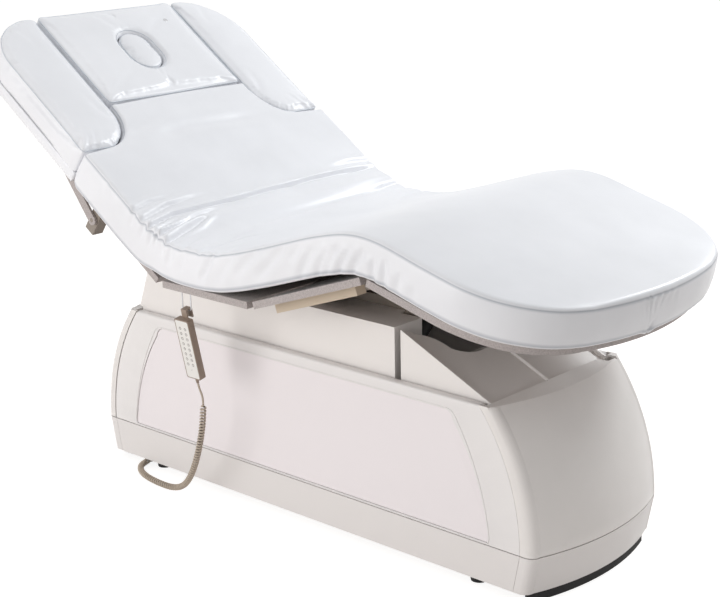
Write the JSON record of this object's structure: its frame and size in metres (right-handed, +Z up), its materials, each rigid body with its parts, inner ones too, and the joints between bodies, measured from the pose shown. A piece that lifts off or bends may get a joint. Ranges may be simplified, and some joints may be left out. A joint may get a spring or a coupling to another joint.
{
  "type": "spa bed with cabinet base",
  "caption": "Electric spa bed: padded white sections with arm rests and a face opening, on a barrel-ended white cabinet with a lifting shroud and a corded hand control.",
  "frame": {"origin": "on the floor, under the middle of the bed's box as pictured", "axes": "+X to the foot end, -Y the side with the hand control, +Z up"},
  "size_m": [1.7583, 0.79, 1.1081],
  "materials": {
    "frame_steel": "satin powder coat",
    "zinc_steel": "zinc plated",
    "rubber_black": "matt",
    "white_panel": "satin white lacquer on board",
    "field_white": "fine matt texture",
    "white_shell": "satin",
    "plinth_white": "satin",
    "column_alu": "anodised",
    "black_plastic": "matt",
    "board_felt": "board wrapped in felt",
    "white_leather": "smooth leatherette over foam",
    "handset_taupe": "satin",
    "foil_grey": "membrane foil",
    "cord_beige": "satin",
    "channel_beige": "satin"
  },
  "bodies": {
    "base": {"base_frame": "frame_steel", "glide_feet": "rubber_black", "base_skids": "rubber_black", "plinth_near": "plinth_white", "plinth_far": "plinth_white", "plinth_head": "plinth_white", "plinth_foot": "plinth_white", "side_panel_near": "white_panel", "side_panel_far": "white_panel", "field_panel_near": "field_white", "field_panel_far": "field_white", "head_end_cap": "white_shell", "foot_end_cap": "white_shell", "wedge_cover": "white_shell", "column_housing_head": "column_alu", "column_housing_foot": "column_alu", "control_box": "black_plastic", "power_inlet": "black_plastic", "cord_gland": "black_plastic", "curly_cord": "cord_beige"},
    "lift": {"column_ram_head": "column_alu", "column_ram_foot": "column_alu", "shroud": "white_shell", "seat_frame": "frame_steel", "seat_board": "board_felt", "mattress_seat": "white_leather", "mattress_hip_bend": "white_leather", "mattress_valley_bend": "white_leather", "handset_hook": "zinc_steel", "hinge_pins": "zinc_steel", "handset_lead": "cord_beige"},
    "backrest": {"back_frame": "frame_steel", "back_board": "board_felt", "mattress_back": "white_leather", "arm_posts": "frame_steel", "headrest_pins": "zinc_steel"},
    "headrest": {"headrest_frame": "frame_steel", "headrest_board": "board_felt", "headrest_cushion": "white_leather"},
    "face_plug": {"face_plug": "white_leather"},
    "armrest_near": {"armrest_tray_near": "board_felt", "armrest_cushion_near": "white_leather"},
    "armrest_far": {"armrest_tray_far": "board_felt", "armrest_cushion_far": "white_leather"},
    "thigh": {"thigh_frame": "frame_steel", "thigh_board": "board_felt", "thigh_channels": "channel_beige", "mattress_thigh": "white_leather", "mattress_knee_bend": "white_leather", "knee_pins": "zinc_steel"},
    "leg": {"leg_frame": "frame_steel", "leg_board": "board_felt", "mattress_leg": "white_leather"},
    "leg_link": {"leg_links": "frame_steel"},
    "back_drive": {"back_drive_housing": "black_plastic"},
    "back_rod": {"back_drive_rod": "zinc_steel"},
    "thigh_drive": {"thigh_drive_housing": "black_plastic"},
    "thigh_rod": {"thigh_drive_rod": "zinc_steel"},
    "handset": {"handset_body": "handset_taupe", "handset_foil": "foil_grey"}
  },
  "joints": [
    {"name": "lift_slide", "type": "slide", "parent": "base", "child": "lift", "axis": [0, 0, 1], "range_m": [0, 0.3]},
    {"name": "backrest_hinge", "type": "hinge", "parent": "lift", "child": "backrest", "pos_m": [-0.211, 0, 0.559], "axis": [0, 1, 0], "range_deg": [-35, 35], "deforming": ["mattress_hip_bend"]},
    {"name": "headrest_hinge", "type": "hinge", "parent": "backrest", "child": "headrest", "pos_m": [-0.60419, 0, 0.83432], "axis": [0, -1, 0], "range_deg": [0, 45]},
    {"name": "face_plug_lift", "type": "slide", "parent": "headrest", "child": "face_plug", "axis": [0.5736, 0, 0.8192], "range_m": [0, 0.11]},
    {"name": "armrest_near_hinge", "type": "hinge", "parent": "backrest", "child": "armrest_near", "pos_m": [-0.46659, -0.34, 0.66472], "axis": [0, -1, 0], "range_deg": [0, 50]},
    {"name": "armrest_far_hinge", "type": "hinge", "parent": "backrest", "child": "armrest_far", "pos_m": [-0.46659, 0.34, 0.66472], "axis": [0, -1, 0], "range_deg": [0, 50]},
    {"name": "thigh_hinge", "type": "hinge", "parent": "lift", "child": "thigh", "pos_m": [0.083, 0, 0.559], "axis": [0, -1, 0], "range_deg": [-19, 11], "deforming": ["mattress_valley_bend"]},
    {"name": "leg_hinge", "type": "hinge", "parent": "thigh", "child": "leg", "pos_m": [0.41393, 0, 0.67295], "axis": [0, -1, 0], "range_deg": [-19.6, 33.7], "deforming": ["mattress_knee_bend"]},
    {"name": "leg_link_swing", "type": "hinge", "parent": "lift", "child": "leg_link", "pos_m": [0.29, 0, 0.517], "axis": [0, -1, 0], "range_deg": [-25.6, 15]},
    {"name": "back_drive_swing", "type": "hinge", "parent": "lift", "child": "back_drive", "pos_m": [0.093, 0.11, 0.44], "axis": [0, 1, 0], "range_deg": [-3.7, 3.7]},
    {"name": "back_drive_stroke", "type": "slide", "parent": "back_drive", "child": "back_rod", "axis": [-0.9822, 0, 0.1879], "range_m": [-0.0359, 0.0359]},
    {"name": "thigh_drive_swing", "type": "hinge", "parent": "lift", "child": "thigh_drive", "pos_m": [0.153, 0, 0.32], "axis": [0, -1, 0], "range_deg": [-9.4, 5.5]},
    {"name": "thigh_drive_stroke", "type": "slide", "parent": "thigh_drive", "child": "thigh_rod", "axis": [0.5401, 0, 0.8416], "range_m": [-0.0642, 0.0373]},
    {"name": "handset_lift_off", "type": "slide", "parent": "lift", "child": "handset", "axis": [0, -0.2079, 0.9781], "range_m": [0, 0.03]}
  ],
  "couplings": [
    {"joint": "leg_hinge", "follows": "thigh_hinge", "ratio": -1.7632},
    {"joint": "leg_link_swing", "follows": "thigh_hinge", "ratio": 1.34},
    {"joint": "thigh_drive_swing", "follows": "thigh_hinge", "ratio": 0.4894},
    {"joint": "thigh_drive_stroke", "follows": "thigh_hinge", "m_per_rad": 0.193},
    {"joint": "back_drive_swing", "follows": "backrest_hinge", "ratio": 0.1034},
    {"joint": "back_drive_stroke", "follows": "backrest_hinge", "m_per_rad": 0.05842}
  ]
}
